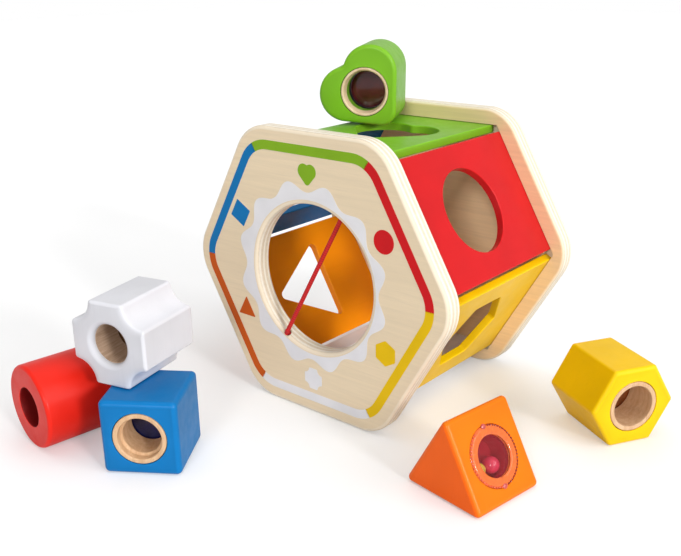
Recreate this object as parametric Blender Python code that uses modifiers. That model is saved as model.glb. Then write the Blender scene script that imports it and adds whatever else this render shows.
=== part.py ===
"""Shape sorter: a hexagonal wooden drum with a round window, and six blocks that fit the holes in it.

Lengths are in metres. The drum rests on one side of its hexagon, with its window towards -Y. Outlines and
turned profiles are drawn facing local +Z, and each such piece is then turned so that its +Z faces the front.
"""

import math

import bmesh
import bpy
from mathutils import Matrix, Vector

MM = 0.001

# Gap kept between pieces that touch.
GAP = 0.3 * MM

# Drum: two plywood plates, the six boards between them, and the elastic across the window.
PLATE_APOTHEM = 85.0 * MM
PLATE_CORNER_RADIUS = 26.0 * MM
PLATE_THICKNESS = 11.2 * MM
PLATE_ROUNDING = 2.3 * MM
DRUM_DEPTH = 135.85 * MM
BOARD_APOTHEM = 75.0 * MM
BOARD_THICKNESS = 5.0 * MM
BOARD_WIDTH = 79.0 * MM
GROOVE_DEPTH = 4.0 * MM
WINDOW_RADIUS = 44.0 * MM
WINDOW_ROUNDING = 2.5 * MM

# Holes in the boards. Depths are measured from the front of the drum to the outline's own centre.
HOLE_DEPTH = 67.5 * MM
HEART_HOLE_DEPTH = 80.5 * MM
CIRCLE_HOLE_RADIUS = 25.4 * MM
HEXAGON_HOLE_RADIUS = 27.5 * MM
TRIANGLE_HOLE_SIDE = 56.6 * MM
SQUARE_HOLE_SIDE = 45.2 * MM
CROSS_HOLE_SIDE = 50.2 * MM
CROSS_HOLE_SCOOP = 11.7 * MM
HOLE_CORNER_RADIUS = 3.0 * MM
HEART_CLEARANCE = 0.6 * MM

# Elastic: angles about the window, and how far behind the front face its ends leave the window's wall.
CORD_RADIUS = 1.35 * MM
CORD_HOLE_RADIUS = 1.8 * MM
CORD_LOWER_ANGLE = math.radians(240.4)
CORD_UPPER_ANGLE = math.radians(64.0)
CORD_LOWER_DEPTH = 1.2 * MM
CORD_UPPER_DEPTH = 5.5 * MM
CORD_SLANT = math.radians(45.0)
CORD_RISE = 0.9 * MM
CORD_BEND = 2.0 * MM
CORD_STRAIGHT = 6.0 * MM
KNOT_RADIUS = 2.7 * MM

# Blocks: sizes across their end faces, each a little under its hole.
BLOCK_LENGTH = 44.0 * MM
HEART_LENGTH = 43.0 * MM
CUBE_SIDE = 42.6 * MM
CROSS_SIDE = 48.0 * MM
CROSS_SCOOP = 12.5 * MM
CYLINDER_RADIUS = 24.4 * MM
HEXAGON_RADIUS = 26.2 * MM
TRIANGLE_SIDE = 53.0 * MM
TRIANGLE_LENGTH = 46.4 * MM
HEART_LOBE_RADIUS = 16.8 * MM
HEART_LOBE_SPREAD = 10.0 * MM
HEART_TIP_DEPTH = 31.2 * MM
HEART_TIP_RADIUS = 9.0 * MM
HEART_NOTCH_RADIUS = 4.5 * MM
HEART_BORE_DROP = 6.6 * MM
BLOCK_ROUNDING = 2.6 * MM
CUBE_ROUNDING = 3.0 * MM
CROSS_ROUNDING = 1.8 * MM
CYLINDER_ROUNDING = 2.2 * MM
HEXAGON_ROUNDING = 2.4 * MM

# Peepholes through the blocks: wooden rings and liners, and a tinted lens inside.
LINER_OUTER = 14.75 * MM
LINER_INNER = 12.1 * MM
LINER_STEP = 10.6 * MM
LINER_STEP_DEPTH = 4.5 * MM
RING_LENGTH = 5.2 * MM
LENS_THICKNESS = 2.4 * MM
HEART_LENS_DEPTH = 16.5 * MM
CYLINDER_BORE = 11.5 * MM
CROSS_BORE = 11.4 * MM
CROSS_BORE_ROUNDING = 3.0 * MM
SLEEVE_WALL = 1.2 * MM
SLEEVE_DEPTH = 3.6 * MM
LIP = 0.7 * MM

# Rattle: a cavity bored into one sloping face of the triangular block, closed by a clear cap.
CAVITY_RADIUS = 11.2 * MM
CAVITY_DEPTH = 13.5 * MM
CAVITY_DROP = 0.9 * MM
CAP_RADIUS = 16.0 * MM
CAP_THICKNESS = 1.8 * MM
CAP_RECESS = 1.1 * MM
CAP_SKIRT_LENGTH = 1.5 * MM
CAP_SKIRT_WALL = 0.9 * MM
BEAD_SIDES = {"pink": 3.6 * MM, "yellow": -5.1 * MM}
BEAD_RADII = {"pink": 4.6 * MM, "yellow": 3.9 * MM}

# Where the centre of the drum's front face stands, so that the whole layout is centred on the origin.
LAYOUT_X = -25.80 * MM
LAYOUT_Y = -1.87 * MM

# Where the blocks lie, as x and y in millimetres from the centre of the drum's front face, and how many
# degrees each is turned. The heart also leans over, because it stands on the flank of one lobe.
BLOCK_SPOTS = {
    "heart": (-36.0, 93.5, 28.0),
    "cube": (-37.3, -92.1, 34.0),
    "cross": (-55.7, -84.7, 14.4),
    "cylinder": (-95.6, -107.5, -7.2),
    "hexagon": (143.0, 94.2, 59.3),
    "triangle": (115.5, -7.1, -9.3),
}
HEART_SPIN = 42.0

# Display colours, 0 to 255. The boards go round the drum from its top.
PLYWOOD = (222, 200, 165)
LINER_WOOD = (214, 180, 138)
SLEEVE_WOOD = (190, 140, 95)
ELASTIC_RED = (170, 28, 38)
CLEAR = (250, 225, 215)
PAINTS = {
    "green": (125, 180, 45),
    "red": (226, 58, 62),
    "yellow": (245, 200, 40),
    "white": (228, 228, 232),
    "orange": (235, 125, 20),
    "blue": (0, 115, 190),
}
LENS_COLOURS = {
    "heart": (150, 30, 35),
    "cube": (15, 25, 70),
    "hexagon": (225, 190, 60),
    "cross": (120, 90, 60),
    "cylinder": (120, 20, 25),
}
BEAD_COLOURS = {"pink": (225, 60, 95), "yellow": (245, 215, 70)}

# Facets of a full circle on the large and on the small round pieces.
FINE = 48
COARSE = 32


def arc(centre_x, centre_y, radius, start, end, steps):
    """Points on an arc, with both ends. Angles are in degrees."""
    points = []
    for i in range(steps + 1):
        angle = math.radians(start + (end - start) * i / steps)
        points.append((centre_x + radius * math.cos(angle), centre_y + radius * math.sin(angle)))
    return points


def polygon(count, circumradius, first_angle):
    """A regular polygon's corners. The first angle is in degrees."""
    turn = 360.0 / count
    return arc(0, 0, circumradius, first_angle, first_angle + 360.0 - turn, count - 1)


def rounded(corners, radius, steps):
    """A convex outline, anticlockwise, with each corner replaced by an arc."""
    points = []
    for i, corner in enumerate(corners):
        here = Vector(corner)
        back = (Vector(corners[i - 1]) - here).normalized()
        ahead = (Vector(corners[(i + 1) % len(corners)]) - here).normalized()
        half = back.angle(ahead) / 2
        centre = here + (back + ahead).normalized() * radius / math.sin(half)
        middle = math.degrees(math.atan2(here.y - centre.y, here.x - centre.x))
        reach = 90.0 - math.degrees(half)
        points += arc(centre.x, centre.y, radius, middle - reach, middle + reach, steps)
    return points


def square(side):
    return polygon(4, side / math.sqrt(2), 45)


def cross(side, scoop, steps):
    """A square with a quarter circle scooped out of each corner."""
    half = side / 2
    points = []
    for turn in (0, 90, 180, 270):
        angle = math.radians(turn)
        corner_x = half * (math.cos(angle) - math.sin(angle))
        corner_y = half * (math.cos(angle) + math.sin(angle))
        points += arc(corner_x, corner_y, scoop, turn + 270, turn + 180, steps)
    return points


def heart(grow, steps):
    """A heart, its tip towards -Y, grown outwards by a clearance; its centre is between the lobes."""
    lobe = HEART_LOBE_RADIUS + grow
    tip = HEART_TIP_RADIUS + grow
    notch = HEART_NOTCH_RADIUS - grow
    tip_y = HEART_TIP_RADIUS - HEART_TIP_DEPTH
    to_tip = math.atan2(tip_y, -HEART_LOBE_SPREAD)
    between = math.hypot(HEART_LOBE_SPREAD, tip_y)
    flank = math.degrees(to_tip + math.acos((lobe - tip) / between))
    notch_y = math.sqrt((lobe + notch) ** 2 - HEART_LOBE_SPREAD**2)
    notch_angle = math.degrees(math.atan2(notch_y, -HEART_LOBE_SPREAD))
    right = arc(0, tip_y, tip, -90, flank, steps // 2)
    right += arc(HEART_LOBE_SPREAD, 0, lobe, flank, notch_angle, steps)
    right += arc(0, notch_y, notch, notch_angle - 180, -90, 3)[1:]
    left = [(-x, y) for x, y in reversed(right)]
    return right + left[1:-1]


def rest_height(outline, spin):
    """How high an outline's origin is when it is turned by so many degrees and stands on its lowest point."""
    turn = math.radians(spin)
    return -min(x * math.sin(turn) + y * math.cos(turn) for x, y in outline)


def srgb(red, green, blue):
    """A display colour, 0 to 255, as the linear colour a material takes."""
    linear = [((c / 255 + 0.055) / 1.055) ** 2.4 if c > 10 else c / 255 / 12.92 for c in (red, green, blue)]
    return (*linear, 1.0)


class Model:
    """The collections that hold the pieces and their cutters."""

    def __init__(self, name):
        for thing in list(bpy.data.objects):
            bpy.data.objects.remove(thing, do_unlink=True)
        self.pieces = bpy.data.collections.new(name)
        self.cutters = bpy.data.collections.new("cutters")
        bpy.context.scene.collection.children.link(self.pieces)
        bpy.context.scene.collection.children.link(self.cutters)

    def piece(self, thing, colour, roughness, parent, location=(0, 0, 0), rotation=(0, 0, 0), alpha=1.0):
        """Adds an object with its own material, placed under its parent. Rotation is in degrees."""
        material = bpy.data.materials.new(thing.name)
        material.use_nodes = True
        shader = material.node_tree.nodes["Principled BSDF"]
        shader.inputs["Base Color"].default_value = srgb(*colour)
        shader.inputs["Roughness"].default_value = roughness
        shader.inputs["Metallic"].default_value = 0.0
        shader.inputs["Alpha"].default_value = alpha
        thing.data.materials.clear()
        thing.data.materials.append(material)
        self.pieces.objects.link(thing)
        place(thing, parent, location, rotation)
        return thing

    def cut(self, target, cutter, location=(0, 0, 0), rotation=(0, 0, 0)):
        """Cuts a piece with a solid placed in the piece's own frame."""
        self.cutters.objects.link(cutter)
        cutter.hide_render = True
        cutter.display_type = "WIRE"
        place(cutter, target, location, rotation)
        modifier = target.modifiers.new(cutter.name, "BOOLEAN")
        modifier.operation = "DIFFERENCE"
        modifier.solver = "EXACT"
        modifier.object = cutter


def place(thing, parent, location, rotation):
    thing.parent = parent
    thing.location = location
    thing.rotation_euler = [math.radians(angle) for angle in rotation]


def empty(model, name, parent, location, rotation=(0, 0, 0)):
    frame = bpy.data.objects.new(name, None)
    frame.empty_display_size = 0.02
    model.pieces.objects.link(frame)
    place(frame, parent, location, rotation)
    return frame


def smooth(mesh):
    mesh.shade_smooth()
    mesh.set_sharp_from_angle(angle=math.radians(35))


def prism(name, outlines, thickness):
    """A plate of these outlines, centred on z = 0. An outline inside another is a hole."""
    curve = bpy.data.curves.new(name, "CURVE")
    curve.dimensions = "2D"
    curve.fill_mode = "BOTH"
    curve.extrude = thickness / 2
    for outline in outlines:
        spline = curve.splines.new("POLY")
        spline.points.add(len(outline) - 1)
        for point, (x, y) in zip(spline.points, outline):
            point.co = (x, y, 0, 1)
        spline.use_cyclic_u = True
    drawn = bpy.data.objects.new(name + "_outline", curve)
    bpy.context.scene.collection.objects.link(drawn)
    evaluated = drawn.evaluated_get(bpy.context.evaluated_depsgraph_get())
    mesh = bpy.data.meshes.new_from_object(evaluated)
    solid = bpy.data.objects.new(name, mesh)
    solid.matrix_world = drawn.matrix_world
    bpy.data.objects.remove(drawn)
    bpy.data.curves.remove(curve)
    work = bmesh.new()
    work.from_mesh(mesh)
    bmesh.ops.remove_doubles(work, verts=work.verts, dist=1e-6)
    bmesh.ops.dissolve_limit(work, angle_limit=math.radians(0.5), verts=work.verts, edges=work.edges)
    bmesh.ops.recalc_face_normals(work, faces=work.faces)
    work.to_mesh(mesh)
    work.free()
    smooth(mesh)
    return solid


def round_edges(thing, width, segments):
    """Rounds every edge that turns by more than 40 degrees."""
    bevel = thing.modifiers.new("rounding", "BEVEL")
    bevel.width = width
    bevel.segments = segments
    bevel.limit_method = "ANGLE"
    bevel.angle_limit = math.radians(40)


def cylinder(name, radius, length, steps=COARSE):
    mesh = bpy.data.meshes.new(name)
    work = bmesh.new()
    bmesh.ops.create_cone(
        work, cap_ends=True, segments=steps, radius1=radius, radius2=radius, depth=length
    )
    work.to_mesh(mesh)
    work.free()
    smooth(mesh)
    return bpy.data.objects.new(name, mesh)


def ball(name, radius):
    mesh = bpy.data.meshes.new(name)
    work = bmesh.new()
    bmesh.ops.create_uvsphere(work, u_segments=16, v_segments=10, radius=radius)
    work.to_mesh(mesh)
    work.free()
    mesh.shade_smooth()
    return bpy.data.objects.new(name, mesh)


def turned(name, profile, closed=True, steps=COARSE):
    """A profile of (radius, z) points, down its outer side first, turned about z."""
    count = len(profile)
    edges = [(i, (i + 1) % count) for i in range(count if closed else count - 1)]
    mesh = bpy.data.meshes.new(name)
    mesh.from_pydata([(radius, 0, z) for radius, z in profile], edges, [])
    thing = bpy.data.objects.new(name, mesh)
    screw = thing.modifiers.new("turn", "SCREW")
    screw.axis = "Z"
    screw.angle = 2 * math.pi
    screw.steps = steps
    screw.render_steps = steps
    screw.use_merge_vertices = True
    screw.merge_threshold = 1e-5
    screw.use_smooth_shade = True
    return thing


def flared_bore(name, radius, thickness, rounding, steps=COARSE):
    """A cutter for a round hole whose rims are rounded on both faces."""
    flare = radius + rounding
    rim = thickness / 2
    upper = arc(flare, rim - rounding, rounding, 90, 180, 4)
    lower = [(r, -z) for r, z in reversed(upper)]
    beyond = rim + 2 * MM
    profile = [(0, beyond), (flare, beyond), *upper, *lower, (flare, -beyond), (0, -beyond)]
    return turned(name, profile, closed=False, steps=steps)


def tube_profile(outer, inner, length, step_inner=None):
    """A liner's profile: its mouth at the top, a small lip round the mouth, and a step inside if asked."""
    top = length / 2
    profile = [(outer - LIP, top), (outer, top - LIP), (outer, -top)]
    if step_inner:
        ledge = top - LINER_STEP_DEPTH
        profile += [(step_inner, -top), (step_inner, ledge), (inner, ledge)]
    else:
        profile += [(inner, -top)]
    return profile + [(inner, top - LIP), (inner + LIP, top)]


def board_hole(name):
    """The hole's outline on a board, and how deep into the drum its centre is."""
    if name == "green":
        return heart(HEART_CLEARANCE, 16), HEART_HOLE_DEPTH
    if name == "red":
        return polygon(FINE, CIRCLE_HOLE_RADIUS, 0), HOLE_DEPTH
    if name == "yellow":
        return rounded(polygon(6, HEXAGON_HOLE_RADIUS, 90), HOLE_CORNER_RADIUS, 3), HOLE_DEPTH
    if name == "white":
        return cross(CROSS_HOLE_SIDE, CROSS_HOLE_SCOOP, 8), HOLE_DEPTH
    if name == "orange":
        triangle = polygon(3, TRIANGLE_HOLE_SIDE / math.sqrt(3), -90)
        return rounded(triangle, HOLE_CORNER_RADIUS, 5), HOLE_DEPTH
    return rounded(square(SQUARE_HOLE_SIDE), HOLE_CORNER_RADIUS, 4), HOLE_DEPTH


def cut_groove(model, plate, side):
    """The hexagonal groove that holds the boards' ends. Side is +1 on a front face and -1 on a rear one."""
    outer = polygon(6, (BOARD_APOTHEM + GAP) / math.cos(math.radians(30)), 0)
    inner = polygon(6, (BOARD_APOTHEM - BOARD_THICKNESS - GAP) / math.cos(math.radians(30)), 0)
    groove = prism(plate.name + "_groove", [outer, inner], 2 * GROOVE_DEPTH)
    model.cut(plate, groove, location=(0, 0, side * PLATE_THICKNESS / 2))


def window_point(radius, angle, depth):
    """A point by its radius and angle about the window's axis and its depth behind the drum's front."""
    return Vector((radius * math.cos(angle), depth, radius * math.sin(angle)))


def cord_ends(angle, depth):
    """Where the elastic meets the window's wall, and where its slanted hole opens behind the plate."""
    mouth = window_point(WINDOW_RADIUS, angle, depth)
    run = PLATE_THICKNESS - depth
    back = window_point(WINDOW_RADIUS + run * math.tan(CORD_SLANT), angle, PLATE_THICKNESS)
    return mouth, back


def smooth_path(points, spacing):
    """Points about this far apart on a smooth curve through the given ones."""
    padded = [2 * points[0] - points[1], *points, 2 * points[-1] - points[-2]]
    path = []
    for before, start, end, after in zip(padded, padded[1:], padded[2:], padded[3:]):
        pieces = max(1, round((end - start).length / spacing))
        for i in range(pieces):
            t = i / pieces
            path.append(
                0.5
                * (
                    2 * start
                    + (end - before) * t
                    + (2 * before - 5 * start + 4 * end - after) * t**2
                    + (3 * start - before - 3 * end + after) * t**3
                )
            )
    return [*path, points[-1]]


def cord(name, points, radius):
    """A tube along these points, closed at both ends."""
    curve = bpy.data.curves.new(name, "CURVE")
    curve.dimensions = "3D"
    curve.bevel_depth = radius
    curve.bevel_resolution = 2
    curve.use_fill_caps = True
    spline = curve.splines.new("POLY")
    spline.points.add(len(points) - 1)
    for spline_point, point in zip(spline.points, points):
        spline_point.co = (*point, 1)
    return bpy.data.objects.new(name, curve)


def make_elastic(model, drum, front_plate):
    """The elastic across the window, the slanted holes it runs through, and the knots behind the plate."""
    lower_mouth, lower_back = cord_ends(CORD_LOWER_ANGLE, CORD_LOWER_DEPTH)
    upper_mouth, upper_back = cord_ends(CORD_UPPER_ANGLE, CORD_UPPER_DEPTH)
    half_plate = Vector((0, PLATE_THICKNESS / 2, 0))
    to_plate = Matrix.Rotation(math.radians(-90), 3, "X")
    ends = (("lower", lower_mouth, lower_back), ("upper", upper_mouth, upper_back))
    for name, mouth, back in ends:
        along = (back - mouth).normalized()
        start = mouth - along * MM
        end = back + along * 4 * MM
        drill = cylinder("cord_hole_" + name, CORD_HOLE_RADIUS, (end - start).length, 16)
        middle = to_plate @ ((start + end) / 2 - half_plate)
        turn = (to_plate @ along).to_track_quat("Z", "Y").to_euler()
        model.cut(front_plate, drill, location=middle, rotation=[math.degrees(a) for a in turn])
        knot = ball("elastic_knot_" + name, KNOT_RADIUS)
        centre = back + Vector((0, KNOT_RADIUS + 2 * GAP, 0))
        model.piece(knot, ELASTIC_RED, 0.6, drum, location=centre)
    lower_along = (lower_back - lower_mouth).normalized()
    upper_along = (upper_back - upper_mouth).normalized()
    across = (upper_mouth - lower_mouth).normalized()
    route = [
        lower_back,
        lower_mouth - lower_along * 0.2 * MM,
        lower_mouth + across * CORD_BEND - Vector((0, CORD_RISE, 0)),
        lower_mouth + across * CORD_STRAIGHT - Vector((0, CORD_RISE * 2 / 3, 0)),
        upper_mouth - across * CORD_STRAIGHT,
        upper_mouth - across * CORD_BEND,
        upper_mouth + upper_along * 0.4 * MM,
        upper_back,
    ]
    elastic = cord("elastic_cord", smooth_path(route, 3 * CORD_RADIUS), CORD_RADIUS)
    model.piece(elastic, ELASTIC_RED, 0.6, drum)


def make_drum(model, drum):
    """Plates, boards and elastic. The drum's frame is at its front face's centre, with x right and z up."""
    plate_circumradius = PLATE_APOTHEM / math.cos(math.radians(30))
    plate_outline = rounded(polygon(6, plate_circumradius, 0), PLATE_CORNER_RADIUS, 6)
    plate_depths = {"front_plate": PLATE_THICKNESS / 2, "rear_plate": DRUM_DEPTH - PLATE_THICKNESS / 2}
    plates = {}
    for name, depth in plate_depths.items():
        plate = prism(name, [plate_outline], PLATE_THICKNESS)
        round_edges(plate, PLATE_ROUNDING, 3)
        plates[name] = model.piece(plate, PLYWOOD, 0.5, drum, (0, depth, 0), (90, 0, 0))
    cut_groove(model, plates["front_plate"], -1)
    cut_groove(model, plates["rear_plate"], 1)
    window = flared_bore("window", WINDOW_RADIUS, PLATE_THICKNESS, WINDOW_ROUNDING, FINE)
    model.cut(plates["front_plate"], window)
    make_elastic(model, drum, plates["front_plate"])

    board_length = DRUM_DEPTH - 2 * (PLATE_THICKNESS - GROOVE_DEPTH + GAP)
    middle = Vector((0, DRUM_DEPTH / 2, BOARD_APOTHEM - BOARD_THICKNESS / 2))
    outline = [(BOARD_WIDTH / 2 * x, board_length / 2 * y) for x, y in ((-1, -1), (1, -1), (1, 1), (-1, 1))]
    for side, name in enumerate(PAINTS):
        board = prism("board_" + name, [outline], BOARD_THICKNESS)
        turn = Matrix.Rotation(math.radians(60 * side), 3, "Y")
        model.piece(board, PAINTS[name], 0.4, drum, turn @ middle, (0, 60 * side, 0))
        hole, depth = board_hole(name)
        cutter = prism("hole_" + name, [hole], 3 * BOARD_THICKNESS)
        model.cut(board, cutter, location=(0, depth - DRUM_DEPTH / 2, 0))


def block_frame(name, z):
    """A block's place in the drum's frame, with its axis this high, and its turn."""
    x, y, yaw = BLOCK_SPOTS[name]
    return (x * MM, y * MM, z), (90, 0, yaw)


def add_lens(model, stem, block, radius, location):
    lens = cylinder(stem + "_lens", radius, LENS_THICKNESS)
    model.piece(lens, LENS_COLOURS[stem], 0.1, block, location, alpha=0.6)


def add_liners(model, stem, block, length, step_inner):
    """Two wooden liners that fill a through bore from both ends, with a lens between them."""
    liner_length = (length - LENS_THICKNESS) / 2 - GAP
    profile = tube_profile(LINER_OUTER, LINER_INNER, liner_length, step_inner)
    z = (length - liner_length) / 2
    for end, side, turn in (("front", 1, 0), ("rear", -1, 180)):
        liner = turned(stem + "_liner_" + end, profile)
        model.piece(liner, LINER_WOOD, 0.6, block, (0, 0, side * z), (turn, 0, 0))


def make_heart_block(model, drum):
    """The heart stands on the drum's top board. Its bore is nearer its tip than the middle of its lobes."""
    block = prism("heart_block", [heart(0, 18)], HEART_LENGTH)
    round_edges(block, BLOCK_ROUNDING, 2)
    lift = BOARD_APOTHEM + GAP + rest_height(heart(0, 18), HEART_SPIN)
    location, (tilt, _, yaw) = block_frame("heart", lift)
    model.piece(block, PAINTS["green"], 0.3, drum, location, (tilt, -HEART_SPIN, yaw))
    bore_y = -HEART_BORE_DROP
    model.cut(block, cylinder("heart_bore", LINER_INNER, HEART_LENGTH + 4 * MM), (0, bore_y, 0))
    rim = HEART_LENGTH / 2
    seat = RING_LENGTH + GAP
    profile = tube_profile(LINER_OUTER, LINER_INNER, RING_LENGTH)
    for end, side, turn in (("front", 1, 0), ("rear", -1, 180)):
        counterbore = cylinder("heart_seat_" + end, LINER_OUTER + GAP, 2 * seat)
        model.cut(block, counterbore, location=(0, bore_y, side * rim))
        ring = turned("heart_ring_" + end, profile)
        ring_z = side * (rim - RING_LENGTH / 2)
        model.piece(ring, LINER_WOOD, 0.6, block, (0, bore_y, ring_z), (turn, 0, 0))
    lens_z = rim - HEART_LENS_DEPTH - LENS_THICKNESS / 2
    add_lens(model, "heart", block, LINER_INNER - GAP, (0, bore_y, lens_z))


def make_lined_block(model, drum, stem, outline, length, height, colour, rounding, step):
    """A block whose through bore is lined with wood: the cube and the hexagonal block."""
    block = prism(stem + "_block", [outline], length)
    round_edges(block, rounding, 2)
    model.piece(block, PAINTS[colour], 0.3, drum, *block_frame(stem, height - PLATE_APOTHEM))
    model.cut(block, cylinder(stem + "_bore", LINER_OUTER + GAP, length + 4 * MM))
    add_liners(model, stem, block, length, step)
    add_lens(model, stem, block, LINER_OUTER, (0, 0, 0))


def make_cross_block(model, drum):
    """The white block lies on top of the cube."""
    block = prism("cross_block", [cross(CROSS_SIDE, CROSS_SCOOP, 8)], BLOCK_LENGTH)
    round_edges(block, CROSS_ROUNDING, 2)
    height = CUBE_SIDE + GAP + CROSS_SIDE / 2
    model.piece(block, PAINTS["white"], 0.3, drum, *block_frame("cross", height - PLATE_APOTHEM))
    model.cut(block, flared_bore("cross_bore", CROSS_BORE, BLOCK_LENGTH, CROSS_BORE_ROUNDING))
    outer = CROSS_BORE - GAP
    length = BLOCK_LENGTH / 2 - SLEEVE_DEPTH - LENS_THICKNESS / 2 - GAP
    z = BLOCK_LENGTH / 2 - SLEEVE_DEPTH - length / 2
    top = length / 2
    profile = [(outer, top), (outer, -top), (outer - SLEEVE_WALL, -top), (outer - SLEEVE_WALL, top)]
    for end, side in (("front", 1), ("rear", -1)):
        sleeve = turned("cross_sleeve_" + end, profile)
        model.piece(sleeve, SLEEVE_WOOD, 0.6, block, (0, 0, side * z))
    add_lens(model, "cross", block, outer, (0, 0, 0))


def make_cylinder_block(model, drum):
    half = BLOCK_LENGTH / 2
    rounding = CYLINDER_ROUNDING
    outer = arc(CYLINDER_RADIUS - rounding, half - rounding, rounding, 90, 0, 3)
    inner = arc(CYLINDER_BORE + LIP, half - LIP, LIP, 180, 90, 2)
    mirrored = [(r, -z) for r, z in reversed(outer)] + [(r, -z) for r, z in reversed(inner)]
    block = turned("cylinder_block", outer + mirrored + inner, steps=FINE)
    model.piece(block, PAINTS["red"], 0.35, drum, *block_frame("cylinder", CYLINDER_RADIUS - PLATE_APOTHEM))
    add_lens(model, "cylinder", block, CYLINDER_BORE - GAP, (0, 0, 0))


def make_rattle_block(model, drum):
    """The triangular block, with its window on the sloping face that looks towards local x and y."""
    triangle = polygon(3, TRIANGLE_SIDE / math.sqrt(3), 90)
    block = prism("triangle_block", [triangle], TRIANGLE_LENGTH)
    round_edges(block, BLOCK_ROUNDING, 2)
    inradius = TRIANGLE_SIDE / (2 * math.sqrt(3))
    model.piece(block, PAINTS["orange"], 0.3, drum, *block_frame("triangle", inradius - PLATE_APOTHEM))

    # The window's own frame is on the sloping face: z out of it, y up the slope, x towards the block's rear.
    slope = math.radians(30)
    out = Vector((math.cos(slope), math.sin(slope), 0))
    up = Vector((-math.sin(slope), math.cos(slope), 0))
    centre = out * inradius - up * CAVITY_DROP
    facing = (0, 90, 30)
    model.cut(block, cylinder("rattle_cavity", CAVITY_RADIUS, 2 * CAVITY_DEPTH), centre, facing)
    recess = cylinder("rattle_recess", CAP_RADIUS + GAP, 2 * (CAP_RECESS + GAP), FINE)
    model.cut(block, recess, centre, facing)
    window = empty(model, "rattle_window", block, centre, facing)

    skirt = CAVITY_RADIUS - GAP
    inner = skirt - CAP_SKIRT_WALL
    profile = [
        (0, CAP_THICKNESS),
        (CAP_RADIUS - LIP, CAP_THICKNESS),
        (CAP_RADIUS, CAP_THICKNESS - LIP),
        (CAP_RADIUS, 0),
        (skirt, 0),
        (skirt, -CAP_SKIRT_LENGTH),
        (inner, -CAP_SKIRT_LENGTH),
        (inner, 0),
        (0, 0),
    ]
    cap = turned("rattle_cap", profile, closed=False, steps=FINE)
    model.piece(cap, CLEAR, 0.08, window, (0, 0, -CAP_RECESS), alpha=0.35)

    # Both beads lie on the cavity's floor and against its lower wall, one on each side of the middle.
    for name, side in BEAD_SIDES.items():
        radius = BEAD_RADII[name]
        reach = CAVITY_RADIUS - radius - GAP
        low = -math.sqrt(reach**2 - side**2)
        bead = ball("bead_" + name, radius)
        model.piece(bead, BEAD_COLOURS[name], 0.3, window, (side, low, radius + GAP - CAVITY_DEPTH))


def main():
    model = Model("shape_sorter")
    drum = empty(model, "drum_centre", None, (LAYOUT_X, LAYOUT_Y, PLATE_APOTHEM))
    make_drum(model, drum)
    make_heart_block(model, drum)
    cube = square(CUBE_SIDE)
    make_lined_block(model, drum, "cube", cube, CUBE_SIDE, CUBE_SIDE / 2, "blue", CUBE_ROUNDING, LINER_STEP)
    hexagon = polygon(6, HEXAGON_RADIUS, 0)
    apothem = HEXAGON_RADIUS * math.cos(math.radians(30))
    rounding = HEXAGON_ROUNDING
    make_lined_block(model, drum, "hexagon", hexagon, BLOCK_LENGTH, apothem, "yellow", rounding, None)
    make_cross_block(model, drum)
    make_cylinder_block(model, drum)
    make_rattle_block(model, drum)


main()
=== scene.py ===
"""Looks of the shape sorter: the plywood drum with its printed front, and the six painted blocks.

Lengths are in millimetres up to the point where a mesh is made. Each piece is built in its own local frame,
with its thickness or its axis along z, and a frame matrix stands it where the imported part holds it.
"""

import math

import bmesh
import bpy
from mathutils import Matrix, Vector


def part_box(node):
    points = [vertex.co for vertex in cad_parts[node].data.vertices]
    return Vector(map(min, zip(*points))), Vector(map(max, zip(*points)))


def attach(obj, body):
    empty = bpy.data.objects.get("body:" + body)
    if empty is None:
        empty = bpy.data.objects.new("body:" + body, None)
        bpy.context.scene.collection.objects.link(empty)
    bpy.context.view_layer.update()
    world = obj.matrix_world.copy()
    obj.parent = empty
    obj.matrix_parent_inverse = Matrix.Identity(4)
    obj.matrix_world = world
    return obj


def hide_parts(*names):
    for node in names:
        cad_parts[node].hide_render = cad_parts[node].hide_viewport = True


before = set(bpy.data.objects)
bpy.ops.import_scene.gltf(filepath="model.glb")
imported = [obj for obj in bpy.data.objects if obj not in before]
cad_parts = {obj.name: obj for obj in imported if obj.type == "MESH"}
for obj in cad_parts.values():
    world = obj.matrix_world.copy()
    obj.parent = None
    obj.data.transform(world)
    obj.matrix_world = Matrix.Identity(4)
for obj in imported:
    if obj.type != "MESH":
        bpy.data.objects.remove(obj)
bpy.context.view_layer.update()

MM = 0.001
GAP = 0.3

# How far a surface turns, in degrees: flat, a rounded edge that takes a painted highlight, and a crease that
# stays sharp.
FLAT_ANGLE = 9.0
EDGE_ANGLE = 15.0
CREASE_ANGLE = 38.0

# Drum, as the part's source has it.
PLATE_APOTHEM = 85.0
PLATE_CORNER_RADIUS = 26.0
PLATE_THICKNESS = 11.2
PLATE_ROUNDING = 2.3
DRUM_DEPTH = 135.85
BOARD_APOTHEM = 75.0
BOARD_THICKNESS = 5.0
BOARD_WIDTH = 79.0
BOARD_ROUNDING = 0.7
GROOVE_DEPTH = 4.0
WINDOW_RADIUS = 44.0
WINDOW_ROUNDING = 2.5
HOLE_DEPTH = 67.5
HEART_HOLE_DEPTH = 80.5
CIRCLE_HOLE_RADIUS = 25.4
HEXAGON_HOLE_RADIUS = 27.5
TRIANGLE_HOLE_SIDE = 56.6
SQUARE_HOLE_SIDE = 45.2
CROSS_HOLE_SIDE = 50.2
HOLE_CORNER_RADIUS = 3.0
HEART_CLEARANCE = 0.6

# Elastic across the window.
CORD_RADIUS = 1.35
CORD_HOLE_RADIUS = 1.8
CORD_LOWER_ANGLE = 240.4
CORD_UPPER_ANGLE = 64.0
CORD_LOWER_DEPTH = 1.2
CORD_UPPER_DEPTH = 5.5
CORD_SLANT = 45.0
BRAID_PITCH = 3.0
BRAID_STRANDS = 12

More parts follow.
